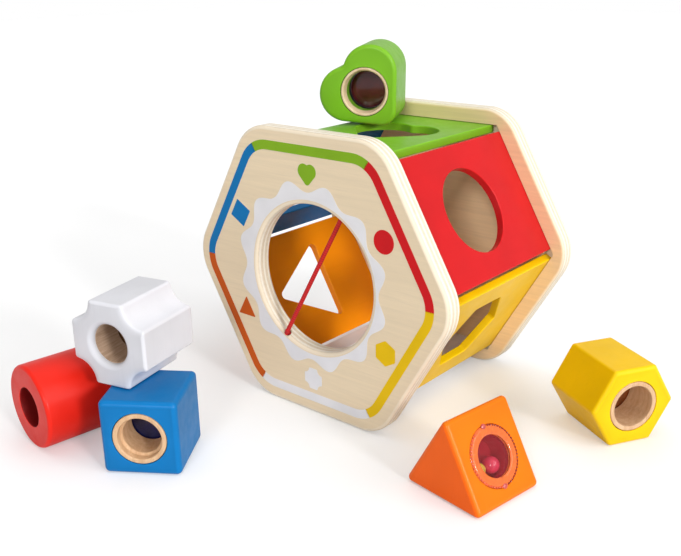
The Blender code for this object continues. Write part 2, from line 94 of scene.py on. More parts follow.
# Blocks.
BLOCK_ROUNDING = 2.6
CUBE_SIDE = 42.6
CUBE_ROUNDING = 3.0
CROSS_SIDE = 48.0
CROSS_SCOOP = 12.5
CROSS_ROUNDING = 1.8
CYLINDER_RADIUS = 24.4
CYLINDER_ROUNDING = 2.2
HEXAGON_RADIUS = 26.2
HEXAGON_ROUNDING = 2.4
TRIANGLE_SIDE = 53.0
TRIANGLE_LENGTH = 46.4
BLOCK_LENGTH = 44.0
HEART_LENGTH = 43.0
HEART_LOBE_RADIUS = 16.8
HEART_LOBE_SPREAD = 10.0
HEART_TIP_DEPTH = 31.2
HEART_TIP_RADIUS = 9.0
HEART_NOTCH_RADIUS = 4.5
HEART_SPIN = 42.0
HEART_BORE_DROP = 6.6
# How far into the heart's bore from each end the green goes; past that, the wall takes a painted shade.
HEART_SHADE_DEPTH = 12.5
YAWS = {"heart": 28.0, "cube": 34.0, "cross": 14.4, "cylinder": -7.2, "hexagon": 59.3, "triangle": -9.3}

# Peepholes.
LINER_OUTER = 14.75
LINER_INNER = 12.1
LINER_STEP = 10.6
LINER_STEP_DEPTH = 4.5
RING_LENGTH = 5.2
RING_FLARE = 1.1
CYLINDER_BORE = 11.5
CROSS_BORE = 11.4
CROSS_BORE_ROUNDING = 3.0
SLEEVE_LIP = 0.4
SLEEVE_WALL = 1.2
LENS_THICKNESS = 2.4
LENS_CROWN = 0.35
LIP = 0.7

# Rattle window.
CAVITY_RADIUS = 11.2
CAVITY_DEPTH = 13.5
CAVITY_DROP = 0.9
CAP_RADIUS = 16.0
CAP_THICKNESS = 1.8
CAP_RECESS = 1.1
CAP_SKIRT_LENGTH = 1.5
CAP_SKIRT_WALL = 0.9
PANE_RADIUS = 10.9
RIB_COUNT = 26
RIB_PITCH = 6.4
LUG_ANGLES = (92, 268)
# How near its ends a face of the triangle takes the painted shade of its end faces.
END_SHADE_REACH = 0.6

# Print on the front plate: how far it stands proud, the line that runs round it, the lobed ring round the
# window, and where the icons are.
PRINT_PROUD = 0.08
PRINT_SHIFT = Vector((-1.0, -0.25, 0.0))
LINE_APOTHEM = 74.65
LINE_WIDTH = 5.5
LINE_CORNER_RADIUS = 20.0
LINE_BREAK = 0.5
LOBE_COUNT = 12
LOBE_HEIGHT = 6.2
LOBE_SHARPNESS = 1.1
LOBE_FOOT_RADIUS = 50.6
ICON_PLACES = {
    "green": (-0.3, 63.2),
    "red": (53.2, 32.5),
    "yellow": (54.3, -31.2),
    "white": (0.2, -62.5),
    "orange": (-53.9, -30.5),
    "blue": (-55.1, 30.9),
}

# Camera, about the centre of the drum's front face.
CAMERA_AZIMUTH = 40.607
CAMERA_ELEVATION = 19.423
CAMERA_ROLL = -0.991
CAMERA_TARGET = Vector((21.88, 0.0, 5.869))
CAMERA_DISTANCE = 498.409
CAMERA_LENS = 47.44

# Studio light: how bright the surroundings are on matt surfaces and in reflections, against a white
# background of 1, how much the paper floor reflects and glows and how far it reaches in metres, and the
# lamps: name, direction, spread in degrees and share of full brightness.
AMBIENT = 0.14
REFLECTED = 0.62
FLOOR_GREY = 220
FLOOR_GLOW = 0.26
FLOOR_REACH = 4.0
SUNS = (
    ("key", (0.80, 0.14, 0.62), 42.0, 0.34),
    ("side", (0.90, -0.20, 0.30), 10.0, 0.46),
    ("top", (-0.10, 0.10, 1.00), 70.0, 0.42),
    ("front", (0.40, -0.84, 0.40), 14.0, 0.365),
    ("back", (-0.60, 0.75, 0.35), 50.0, 0.14),
)
GLOSSY_SUNS = ("key", "side", "front")

COLOURS = {
    "green": (116, 174, 34),
    "red": (200, 24, 28),
    "yellow": (236, 192, 0),
    "white": (240, 238, 238),
    "orange": (255, 146, 8),
    "blue": (0, 110, 178),
}
BLOCK_COLOURS = {**COLOURS, "red": (222, 34, 18), "orange": (230, 114, 6),
                 "blue": (0, 110, 174), "white": (208, 208, 213)}
PRINT_COLOURS = {
    "green": (130, 174, 32),
    "red": (208, 22, 28),
    "yellow": (232, 190, 4),
    "white": (232, 230, 232),
    "orange": (198, 84, 10),
    "blue": (0, 114, 178),
}
VENEER = (240, 219, 185)
# Inner faces of the plates: warmer, a painted reflection of the painted boards inside the drum.
VENEER_INNER_REFLECTED = (246, 214, 170)
PLY_PALE = (250, 242, 226)
PLY_TAN = (234, 218, 192)
PLY_COUNT = 7
VENEER_THICKNESS = 0.8
SIDES = tuple(COLOURS)
ENDS = (("front", 1), ("rear", -1))


# Places.


def turned(angle, axis):
    """A rotation by degrees about an axis."""
    return Matrix.Rotation(math.radians(angle), 4, axis)


def along(place, x=0.0, y=0.0, z=0.0, flip=False):
    """A frame moved within another, and turned end for end if asked."""
    there = place @ Matrix.Translation(Vector((x, y, z)) * MM)
    return there @ turned(180, "X") if flip else there


def middle(*nodes):
    corners = [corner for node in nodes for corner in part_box(node)]
    return sum(corners, Vector()) / len(corners)


def reach_along(place, node):
    """How far along a frame's z a node's middle is."""
    return (middle(node) - place.translation).dot(place.col[2].to_3d()) / MM


# Outlines. A function whose name ends in "outline" returns another, which gives the points when they are
# moved a distance into the material.


def arc(centre_x, centre_y, radius, start, end, steps):
    """Points on an arc, with both ends. Angles are in degrees."""
    points = []
    for i in range(steps + 1):
        angle = math.radians(start + (end - start) * i / steps)
        points.append((centre_x + radius * math.cos(angle), centre_y + radius * math.sin(angle)))
    return points


def turned_points(points, angle):
    c, s = math.cos(math.radians(angle)), math.sin(math.radians(angle))
    return [(x * c - y * s, x * s + y * c) for x, y in points]


def moved(points, x, y):
    return [(px + x, py + y) for px, py in points]


def polygon(count, circumradius, first_angle):
    turn = 360.0 / count
    return arc(0, 0, circumradius, first_angle, first_angle + 360.0 - turn, count - 1)


def rounded(corners, radius, steps):
    """A convex outline, anticlockwise, with each corner replaced by an arc."""
    points = []
    for i, corner in enumerate(corners):
        here = Vector(corner)
        back = (Vector(corners[i - 1]) - here).normalized()
        ahead = (Vector(corners[(i + 1) % len(corners)]) - here).normalized()
        half = back.angle(ahead) / 2
        centre = here + (back + ahead).normalized() * radius / math.sin(half)
        heading = math.degrees(math.atan2(here.y - centre.y, here.x - centre.x))
        reach = 90.0 - math.degrees(half)
        points += arc(centre.x, centre.y, radius, heading - reach, heading + reach, steps)
    return points


def polygon_outline(count, apothem, first_angle, radius, steps=8):
    """A regular polygon with rounded corners, shrinking as its points move in."""
    half_turn = math.radians(180 / count)

    def outline(inset):
        circumradius = (apothem - inset) / math.cos(half_turn)
        return rounded(polygon(count, circumradius, first_angle), max(radius - inset, 0.05), steps)

    return outline


def rectangle_outline(half_width, half_length, radius, steps=4):
    def outline(inset):
        x, y = half_width - inset, half_length - inset
        return rounded([(-x, -y), (x, -y), (x, y), (-x, y)], max(radius - inset, 0.05), steps)

    return outline


def circle_outline(radius, steps=96):
    return lambda inset: polygon(steps, radius - inset, 0)


def heart_outline(grow=0.0, steps=30):
    """A heart with its tip towards -y; its centre is midway between the lobes."""

    def outline(inset):
        lobe = HEART_LOBE_RADIUS + grow - inset
        tip = HEART_TIP_RADIUS + grow - inset
        notch = HEART_NOTCH_RADIUS - grow + inset
        tip_y = HEART_TIP_RADIUS - HEART_TIP_DEPTH
        to_tip = math.atan2(tip_y, -HEART_LOBE_SPREAD)
        between = math.hypot(HEART_LOBE_SPREAD, tip_y)
        flank = math.degrees(to_tip + math.acos((lobe - tip) / between))
        notch_y = math.sqrt((lobe + notch) ** 2 - HEART_LOBE_SPREAD**2)
        notch_angle = math.degrees(math.atan2(notch_y, -HEART_LOBE_SPREAD))
        right = arc(0, tip_y, tip, -90, flank, steps // 2)
        right += arc(HEART_LOBE_SPREAD, 0, lobe, flank, notch_angle, steps)
        right += arc(0, notch_y, notch, notch_angle - 180, -90, steps // 4)[1:]
        left = [(-x, y) for x, y in reversed(right)]
        return right + left[1:-1]

    return outline


def cross_outline(side, scoop, tip, steps=14):
    """A square with a quarter circle scooped out of each corner, and the edges that leaves rounded off."""

    def outline(inset):
        half = side / 2 - inset
        hollow = scoop + inset
        round_tip = max(tip - inset, 0.05)
        drop = math.sqrt(hollow**2 + 2 * hollow * round_tip)
        meet = math.degrees(math.acos(round_tip / (hollow + round_tip)))
        quarter = arc(half - round_tip, half - drop, round_tip, 0, meet, 4)
        quarter += arc(half, half, hollow, 180 + meet, 270 - meet, steps)[1:-1]
        quarter += arc(half - drop, half - round_tip, round_tip, 90 - meet, 90, 4)
        return [point for turn in range(4) for point in turned_points(quarter, 90 * turn)]

    return outline


def hole(outline):
    """The same outline as the wall of a hole: moving into the material makes it larger."""
    return lambda inset: outline(-inset)


def mirrored(profile):
    """The lower half of a profile, from its upper half."""
    return [(distance, -z) for distance, z in reversed(profile)]


def round_profile(half, rounding, steps=6):
    """(inset, z) down a wall that is rounded at its top and at its bottom."""
    top = []
    for i in range(steps + 1):
        angle = math.radians(90 * i / steps)
        top.append((rounding * (1 - math.sin(angle)), half - rounding * (1 - math.cos(angle))))
    return top + mirrored(top)


# Solids.


def mesh_of(work):
    mesh = bpy.data.meshes.new("mesh")
    work.to_mesh(mesh)
    work.free()
    return mesh


def closed_mesh(work):
    """A closed mesh with its faces pointing out."""
    bmesh.ops.recalc_face_normals(work, faces=work.faces)
    return mesh_of(work)


def add_ring(work, points, z):
    return [work.verts.new((x * MM, y * MM, z * MM)) for x, y in points]


def join_rings(work, upper, lower):
    """Faces between two rings of vertices. Either ring may be a single point."""
    for i in range(max(len(upper), len(lower))):
        corners = list(upper) if len(upper) == 1 else [upper[i - 1], upper[i]]
        corners += lower if len(lower) == 1 else [lower[i], lower[i - 1]]
        work.faces.new(corners)


def join_stack(work, rings):
    for upper, lower in zip(rings, rings[1:]):
        join_rings(work, upper, lower)


class Solid:
    """A closed mesh of walls, each a stack of matching rings, and flat caps that join them."""

    def __init__(self):
        self.work = bmesh.new()

    def wall(self, outline, profile):
        """Adds a wall and returns its first and last rings."""
        rings = [add_ring(self.work, outline(inset), z) for inset, z in profile]
        join_stack(self.work, rings)
        return rings[0], rings[-1]

    def cap(self, *rings):
        edges = []
        for ring in rings:
            for i, vertex in enumerate(ring):
                pair = (ring[i - 1], vertex)
                edges.append(self.work.edges.get(pair) or self.work.edges.new(pair))
        bmesh.ops.triangle_fill(self.work, use_beauty=True, use_dissolve=False, edges=edges)

    def slab(self, walls):
        """Walls with flat caps across all their tops and all their bottoms."""
        for rings in zip(*[self.wall(outline, profile) for outline, profile in walls]):
            self.cap(*rings)

    def mesh(self):
        return closed_mesh(self.work)


def plate_mesh(outline, half, rounding, holes=()):
    """A plate with rounded edges. Each hole is an outline and the rounding of its rims."""
    solid = Solid()
    edges = [(outline, rounding), *((hole(shape), rim) for shape, rim in holes)]
    solid.slab([(edge, round_profile(half, radius)) for edge, radius in edges])
    return solid.mesh()


def softened(profile, radius, closed=True, steps=3):
    """A profile with its corners rounded. The two ends of an open profile stay as they are."""
    points = []
    count = len(profile)
    for i, corner in enumerate(profile):
        if not closed and i in (0, count - 1):
            points.append(corner)
            continue
        here = Vector(corner)
        back = Vector(profile[i - 1]) - here
        ahead = Vector(profile[(i + 1) % count]) - here
        start = here + back.normalized() * min(radius, back.length * 0.45)
        end = here + ahead.normalized() * min(radius, ahead.length * 0.45)
        for k in range(steps + 1):
            t = k / steps
            points.append(tuple(start * (1 - t) ** 2 + here * 2 * t * (1 - t) + end * t**2))
    return points


def lathe_mesh(profile, steps=72):
    """A profile of (radius, z) turned about z. It either starts and ends on the axis or closes on itself."""
    work = bmesh.new()
    rings = [add_ring(work, polygon(steps, radius, 0) if radius else [(0, 0)], z) for radius, z in profile]
    join_stack(work, rings)
    if profile[0][0]:
        join_rings(work, rings[-1], rings[0])
    return closed_mesh(work)


def sweep_mesh(path, radius_at, sides):
    """A tube along a path of points in metres. Its radius is a function of the point's number and of the
    angle round the tube. It also returns each vertex's turn round the tube and millimetres along it."""
    work = bmesh.new()
    tangents = [(b - a).normalized() for a, b in zip(path, path[1:])]
    between = [(a + b).normalized() for a, b in zip(tangents, tangents[1:])]
    tangents = [tangents[0], *between, tangents[-1]]
    across = tangents[0].orthogonal().normalized()
    rings, surface, run = [], [], 0.0
    for i, (point, tangent) in enumerate(zip(path, tangents)):
        if i:
            run += (point - path[i - 1]).length
        across = (across - tangent * across.dot(tangent)).normalized()
        up = tangent.cross(across)
        ring = []
        for k in range(sides):
            angle = 2 * math.pi * k / sides
            offset = (across * math.cos(angle) + up * math.sin(angle)) * radius_at(i, angle) * MM
            ring.append(work.verts.new(point + offset))
            surface.append((k / sides, run / MM, 0.0))
        rings.append(ring)
    join_stack(work, rings)
    for ring, point, reach in ((rings[0], path[0], 0.0), (rings[-1], path[-1], run)):
        join_rings(work, ring, [work.verts.new(point)])
        surface.append((0.0, reach / MM, 0.0))
    return closed_mesh(work), surface


def carve(mesh, cutter, place):
    """The mesh with a cutter's shape taken away. Place is where the cutter stands in the mesh's frame."""
    target = bpy.data.objects.new("target", mesh)
    tool = bpy.data.objects.new("tool", cutter)
    tool.matrix_world = place
    for thing in (target, tool):
        bpy.context.scene.collection.objects.link(thing)
    modifier = target.modifiers.new("cut", "BOOLEAN")
    modifier.operation = "DIFFERENCE"
    modifier.solver = "EXACT"
    modifier.object = tool
    evaluated = target.evaluated_get(bpy.context.evaluated_depsgraph_get())
    cut = bpy.data.meshes.new_from_object(evaluated)
    bpy.data.objects.remove(target)
    bpy.data.objects.remove(tool)
    return cut


def sharpness(mesh):
    """How strongly the surface turns at each vertex: 0 on flats and broad curves, 1 on rounded edges."""
    work = bmesh.new()
    work.from_mesh(mesh)
    turns = [0.0] * len(work.verts)
    work.verts.ensure_lookup_table()
    for vertex in work.verts:
        angles = [math.degrees(e.calc_face_angle(0.0)) for e in vertex.link_edges if e.is_convex]
        turn = (max(angles, default=0.0) - FLAT_ANGLE) / (EDGE_ANGLE - FLAT_ANGLE)
        turns[vertex.index] = min(1.0, max(0.0, turn))
    work.free()
    return turns


def mark_surface(mesh, points=None):
    """What the finishes read: each vertex's place on the surface, in millimetres, and its sharpness."""
    points = points or [vertex.co / MM for vertex in mesh.vertices]
    local = mesh.attributes.new("local", "FLOAT_VECTOR", "POINT")
    local.data.foreach_set("vector", [number for point in points for number in point])
    edge = mesh.attributes.new("edge", "FLOAT", "POINT")
    edge.data.foreach_set("value", sharpness(mesh))


def add_piece(name, mesh, finish, place, body, nodes=(), surface=None, pick=None):
    """A piece of the model: its mesh, finish and place, the body it rides on and the nodes it stands for.
    Pick says which of several finishes a face takes, from the face's centre."""
    mark_surface(mesh, surface)
    mesh.name = name
    mesh.materials.clear()
    for material in finish if isinstance(finish, tuple) else (finish,):
        mesh.materials.append(material)
    if pick:
        for face in mesh.polygons:
            face.material_index = pick(*(face.center / MM))
    mesh.shade_smooth()
    mesh.set_sharp_from_angle(angle=math.radians(CREASE_ANGLE))
    thing = bpy.data.objects.new(name, mesh)
    bpy.context.scene.collection.objects.link(thing)
    thing.matrix_world = place
    weighted = thing.modifiers.new("flat faces", "WEIGHTED_NORMAL")
    weighted.keep_sharp = True
    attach(thing, body)
    if nodes:
        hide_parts(*nodes)
    return thing


# Finishes. Patterns follow each piece's own surface coordinates, in millimetres.


def srgb(colour, factor=1.0):
    """A display colour, 0 to 255, made lighter or darker, as the linear colour that a material takes."""
    levels = [min(255, level * factor) for level in colour]
    linear = [((c / 255 + 0.055) / 1.055) ** 2.4 if c > 10 else c / 255 / 12.92 for c in levels]
    return (*linear, 1.0)


class Nodes:
    """A node tree under construction. What feeds a socket is a number, a colour or a node's output."""

    def __init__(self, tree):
        self.tree = tree

    def add(self, kind, *values):
        node = self.tree.nodes.new("ShaderNode" + kind)
        for socket, value in zip(node.inputs, values):
            self.feed(socket, value)
        return node

    def feed(self, socket, value):
        if isinstance(value, bpy.types.NodeSocket):
            self.tree.links.new(value, socket)
        else:
            socket.default_value = value

    def math(self, operation, a, b=0.0):
        node = self.add("Math", a, b)
        node.operation = operation
        return node.outputs[0]

    def range(self, value, low, high, to_low=0.0, to_high=1.0):
        return self.add("MapRange", value, low, high, to_low, to_high).outputs[0]


class Finish(Nodes):
    """A material under construction."""

    def __init__(self, name, coat=0.0, sheen=0.0):
        self.material = bpy.data.materials.new(name)
        self.material.use_nodes = True
        super().__init__(self.material.node_tree)
        self.shader = self.tree.nodes["Principled BSDF"]
        self.set("Coat Weight", coat)
        self.set("Coat Roughness", 0.12)
        self.set("Sheen Weight", sheen)
        self.where = self.attribute("local", "Vector")
        self.edge = self.attribute("edge", "Fac")

    def attribute(self, name, output):
        node = self.add("Attribute")
        node.attribute_name = name
        return node.outputs[output]

    def axes(self):
        return self.add("SeparateXYZ", self.where).outputs

    def noise(self, scale, detail=3.0, roughness=0.5, offset=(0, 0, 0)):
        """Noise whose features are 1/scale millimetres long, with one scale or one along each axis."""
        mapping = self.add("Mapping", self.where, offset)
        mapping.inputs["Scale"].default_value = scale if isinstance(scale, tuple) else (scale,) * 3
        node = self.add("TexNoise", mapping.outputs[0])
        node.inputs["Scale"].default_value = 1.0
        node.inputs["Detail"].default_value = detail
        node.inputs["Roughness"].default_value = roughness
        return node.outputs["Fac"]

    def mix(self, factor, a, b):
        node = self.add("Mix", factor)
        node.data_type = "RGBA"
        self.feed(node.inputs[6], a)
        self.feed(node.inputs[7], b)
        return node.outputs[2]

    def bump(self, height, strength, distance=0.1):
        node = self.add("Bump")
        node.inputs["Strength"].default_value = strength
        node.inputs["Distance"].default_value = distance * MM
        self.feed(node.inputs["Height"], height)
        self.feed(self.shader.inputs["Normal"], node.outputs[0])

    def set(self, socket, value):
        self.feed(self.shader.inputs[socket], value)

    def tones(self, factor, colour, low, high):
        """A colour between two shades of itself."""
        return self.mix(factor, srgb(colour, low), srgb(colour, high))

    def set_roughness(self, pattern, low, high):
        self.set("Roughness", self.range(pattern, 0.3, 0.7, low, high))


def paint(name, colour, roughness=0.34, peel=0.12):
    """Satin paint on wood: a slow drift of colour, the wood's grain just showing, a painted highlight on the
    rounded edges, and a fine orange-peel skin."""
    f = Finish(name, coat=0.03)
    f.set("Specular IOR Level", 0.2)
    drift = f.range(f.noise(0.03, 2.0), 0.35, 0.65)
    fibres = f.noise((0.6, 0.03, 0.6), 5.0, 0.6)
    base = f.tones(drift, colour, 0.975, 1.02)
    base = f.mix(f.range(fibres, 0.52, 0.75, 0.0, 0.1), base, srgb(colour, 0.86))
    # Painted highlight: lighter paint on rounded edges, standing in for the light they catch.
    base = f.mix(f.range(f.edge, 0.0, 1.0, 0.0, 0.3), base, srgb(colour, 1.14))
    f.set("Base Color", base)
    f.set_roughness(f.noise(0.15, 4.0), roughness - 0.05, roughness + 0.08)
    skin = f.noise(1.6, 2.0)
    f.bump(f.math("ADD", skin, f.math("MULTIPLY", fibres, 0.5)), peel, 0.08)
    return f.material


def wood(name, light, dark, grain):
    """Bare turned wood: long fibres, darker growth lines and fine pores."""
    f = Finish(name)
    lines = f.noise(grain, 6.0, 0.62)
    slow = f.noise(tuple(s * 0.18 for s in grain), 2.0, offset=(7, 3, 1))
    pores = f.noise(tuple(s * 5 for s in grain), 3.0)
    base = f.mix(f.range(lines, 0.35, 0.68), srgb(light), srgb(dark))
    base = f.mix(f.range(slow, 0.35, 0.65, 0.0, 0.3), base, srgb(dark, 0.92))
    base = f.mix(f.range(pores, 0.6, 0.72, 0.0, 0.35), base, srgb(dark, 0.72))
    f.set("Base Color", base)
    f.set_roughness(lines, 0.47, 0.65)
    f.bump(f.math("ADD", lines, f.math("MULTIPLY", pores, 0.6)), 0.22, 0.12)
    return f.material


def plywood(name, inner_side):
    """Plywood across its thickness, z: pale face veneers, the inner one warmer as a painted reflection of
    the boards inside the drum, and cross plies with thin glue lines between them."""
    f = Finish(name, coat=0.06)
    f.set("Specular IOR Level", 0.3)
    z = f.axes()[2]
    wander = f.range(f.noise((0.05, 0.05, 0.0), 2.0), 0.0, 1.0, -0.35, 0.35)
    depth = f.math("ADD", z, wander)
    fibres = f.noise((0.02, 0.5, 0.3), 7.0, 0.62)
    grain = f.range(fibres, 0.34, 0.68)
    figure = f.noise((0.009, 0.05, 0.1), 3.0, 0.5, offset=(4, 9, 2))
    flecks = f.noise((0.12, 2.2, 1.0), 2.0, offset=(1, 5, 3))
    face = f.tones(grain, VENEER, 1.0, 0.965)
    face = f.mix(f.range(figure, 0.38, 0.66, 0.0, 0.4), face, srgb(VENEER, 0.955))
    face = f.mix(f.range(flecks, 0.6, 0.74, 0.0, 0.22), face, srgb(VENEER, 0.88))
    ends = f.range(f.noise((0.5, 0.5, 0.9), 6.0, 0.65), 0.35, 0.7)
    pale = f.tones(ends, PLY_PALE, 1.0, 0.95)
    tan = f.tones(ends, PLY_TAN, 1.0, 0.93)
    plies = f.math("ADD", f.math("DIVIDE", depth, PLATE_THICKNESS / PLY_COUNT), 20.5)
    odd = f.math("FRACT", f.math("MULTIPLY", f.math("FLOOR", plies), 0.5))
    layer = f.mix(f.range(odd, 0.2, 0.3), pale, tan)
    within = f.math("FRACT", plies)
    glue = f.range(f.math("ABSOLUTE", f.math("SUBTRACT", within, 0.5)), 0.4, 0.5, 0.0, 0.5)
    layer = f.mix(glue, layer, srgb(PLY_TAN, 0.8))
    veneer = PLATE_THICKNESS / 2 - VENEER_THICKNESS
    inside = f.range(f.math("ABSOLUTE", depth), veneer - 0.2, veneer, 1.0, 0.0)
    # Painted highlight: the rounded edges paler, towards the pale ply, for the light they catch.
    face = f.mix(f.range(f.edge, 0.0, 1.0, 0.0, 0.4), face, srgb(PLY_PALE))
    # Painted reflection: the inner face turns warmer, for the colour the boards inside cast on it.
    reach = f.math("MULTIPLY", z, inner_side)
    reflected_warmth = f.tones(grain, VENEER_INNER_REFLECTED, 1.0, 0.95)
    face = f.mix(f.range(reach, veneer + 0.3, veneer + 0.7), face, reflected_warmth)
    f.set("Base Color", f.mix(inside, face, layer))
    f.set_roughness(fibres, 0.36, 0.5)
    f.bump(f.math("ADD", fibres, f.math("MULTIPLY", glue, -0.6)), 0.12, 0.1)
    return f.material


def print_ink(name, colour):
    """Printed paint, thin enough for the veneer's fibres to show."""
    f = Finish(name)
    f.set("Specular IOR Level", 0.15)
    fibres = f.noise((0.02, 0.5, 0.3), 6.0, 0.6)
    drift = f.noise(0.05, 2.0)
    base = f.tones(f.range(drift, 0.35, 0.65), colour, 0.985, 1.015)
    base = f.mix(f.range(fibres, 0.55, 0.75, 0.0, 0.08), base, srgb(colour, 0.86))
    f.set("Base Color", base)
    f.set_roughness(fibres, 0.4, 0.52)
    f.bump(fibres, 0.12, 0.08)
    return f.material


def plastic(name, colour, scale, tones, gloss, coat):
    """Plastic with a slow drift of colour and gloss. It also returns the drift."""
    f = Finish(name, coat=coat)
    drift = f.noise(scale)
    f.set("Base Color", f.tones(f.range(drift, 0.3, 0.7), colour, *tones))
    f.set_roughness(drift, *gloss)
    return f, drift


def tinted(name, colour):
    """Tinted clear plastic, with faint moulding swirls."""
    f = plastic(name, colour, 0.12, (0.8, 1.15), (0.06, 0.16), 0.15)[0]
    f.set("Transmission Weight", 0.35)
    f.set("IOR", 1.49)
    return f.material


def moulded(name, colour):
    """Glossy opaque plastic with a fine skin."""
    f = plastic(name, colour, 0.2, (0.92, 1.06), (0.12, 0.22), 0.6)[0]
    f.bump(f.noise(1.5, 2.0), 0.06, 0.05)
    return f.material


def frosted(name, colour):
    """The cap's rim and its bumps: clear plastic close over the painted face, so it takes that colour; the
    ribs' colours also hold painted shade and a painted highlight.
    """
    f, drift = plastic(name, colour, 0.5, (0.92, 1.05), (0.14, 0.28), 0.5)
    f.bump(drift, 0.1, 0.05)
    return f.material


def clear_plastic(name):
    """Clear polished plastic: it shows what is behind it through a faint rosy haze."""
    f = Finish(name)
    haze = f.noise(0.2)
    f.set("Base Color", f.mix(haze, srgb((150, 60, 66)), srgb((190, 90, 90))))
    f.set_roughness(haze, 0.04, 0.1)
    f.set("Alpha", 0.12)
    return f.material


def braid(name, colour):
    """Braided thread. The surface coordinates are the turn round the cord and the millimetres along it."""
    f = Finish(name, sheen=0.04)
    f.set("Sheen Roughness", 0.4)
    turn, run = f.axes()[0], f.axes()[1]
    lean = f.math("MULTIPLY", run, math.tau / BRAID_PITCH)
    around = f.math("MULTIPLY", turn, math.tau * BRAID_STRANDS / 2)
    left = f.math("SINE", f.math("ADD", around, lean))
    right = f.math("SINE", f.math("SUBTRACT", around, lean))
    strands = f.math("MULTIPLY", left, right)
    fluff = f.noise((8.0, 2.5, 1.0), 3.0)
    # Darker in the grooves between the strands: painted shade.
    base = f.tones(f.range(strands, -0.8, 0.8), colour, 0.72, 1.0)
    f.set("Base Color", f.mix(f.range(fluff, 0.5, 0.8, 0.0, 0.3), base, srgb(colour, 1.15)))
    f.set_roughness(fluff, 0.55, 0.72)
    f.bump(f.math("ADD", strands, fluff), 0.3, 0.15)
    return f.material


# Camera.


def make_camera(drum):
    turn = turned(CAMERA_AZIMUTH, "Z") @ turned(90 - CAMERA_ELEVATION, "X") @ turned(CAMERA_ROLL, "Z")
    back = turn.col[2].to_3d()
    place = drum @ Matrix.Translation((CAMERA_TARGET + back * CAMERA_DISTANCE) * MM)
    data = bpy.data.cameras.new("camera")
    data.lens = CAMERA_LENS
    data.sensor_width = 36.0
    data.clip_start = 0.01
    camera = bpy.data.objects.new("camera", data)
    bpy.context.scene.collection.objects.link(camera)
    camera.matrix_world = place @ turn
    bpy.context.scene.camera = camera


# Elastic.


def window_point(radius, angle, depth):
    """A point by its radius and angle about the window and its depth behind the front face."""
    angle = math.radians(angle)
    return Vector((radius * math.cos(angle), depth, radius * math.sin(angle)))


def cord_ends(angle, depth):
    """Where the elastic meets the window's wall, and where its slanted hole opens behind the plate."""
    run = PLATE_THICKNESS - depth
    mouth = window_point(WINDOW_RADIUS, angle, depth)
    back = window_point(WINDOW_RADIUS + run * math.tan(math.radians(CORD_SLANT)), angle, PLATE_THICKNESS)
    return mouth, back


def smooth_path(points, spacing):
    """Points about this far apart on a smooth curve through the given ones."""
    padded = [2 * points[0] - points[1], *points, 2 * points[-1] - points[-2]]
    path = []
    for before, start, end, after in zip(padded, padded[1:], padded[2:], padded[3:]):
        pieces = max(1, round((end - start).length / spacing))
        for i in range(pieces):
            t = i / pieces
            bend = (2 * before - 5 * start + 4 * end - after) * t**2
            twist = (3 * start - before - 3 * end + after) * t**3
            path.append((2 * start + (end - before) * t + bend + twist) / 2)
    return [*path, points[-1]]


def make_elastic(drum):
    lower_mouth, lower_back = cord_ends(CORD_LOWER_ANGLE, CORD_LOWER_DEPTH)
    upper_mouth, upper_back = cord_ends(CORD_UPPER_ANGLE, CORD_UPPER_DEPTH)
    lower_along = (lower_back - lower_mouth).normalized()
    upper_along = (upper_back - upper_mouth).normalized()
    across = (upper_mouth - lower_mouth).normalized()
    bend = 2.0
    route = [
        lower_back,
        lower_mouth - lower_along * 0.2,
        lower_mouth + across * bend - Vector((0, 0.9, 0)),
        lower_mouth + across * 6 - Vector((0, 0.6, 0)),
        upper_mouth - across * 6,
        upper_mouth - across * bend,
        upper_mouth + upper_along * 0.4,
        upper_back,
    ]
    path = [drum @ (point * MM) for point in smooth_path(route, 0.35)]
    run = [0.0]
    for a, b in zip(path, path[1:]):
        run.append(run[-1] + (b - a).length / MM)

    def radius_at(i, angle):
        lean = math.tau * run[i] / BRAID_PITCH
        around = angle * BRAID_STRANDS / 2
        return CORD_RADIUS - 0.06 + 0.06 * math.sin(around + lean) * math.sin(around - lean)

    mesh, surface = sweep_mesh(path, radius_at, 36)
    elastic = add_piece("elastic", mesh, ELASTIC_RED, Matrix(), "drum", ["elastic_cord"], surface)
    for name in ("lower", "upper"):
        make_knot(name)


def make_knot(name):
    """A tight overhand knot: three crossings of one thick thread."""
    low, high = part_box("elastic_knot_" + name)
    reach = (high.x - low.x) / 2 / MM
    thread = reach * 0.42
    loop = reach - thread
    path = []
    for i in range(90):
        t = math.tau * i / 90
        wide = 0.63 + 0.36 * math.cos(3 * t)
        point = Vector((wide * math.cos(2 * t), 0.5 * math.sin(3 * t), wide * math.sin(2 * t)))
        path.append((low + high) / 2 + point * loop * MM)
    mesh, surface = sweep_mesh(path, lambda i, angle: thread, 16)
    node = "elastic_knot_" + name
    add_piece("knot_" + name, mesh, ELASTIC_RED, Matrix(), "drum", [node], surface)


# Drum.


def face_place(drum, depth):
    """A frame whose z faces the front, this far behind the front face."""
    return along(drum, y=depth) @ turned(90, "X")


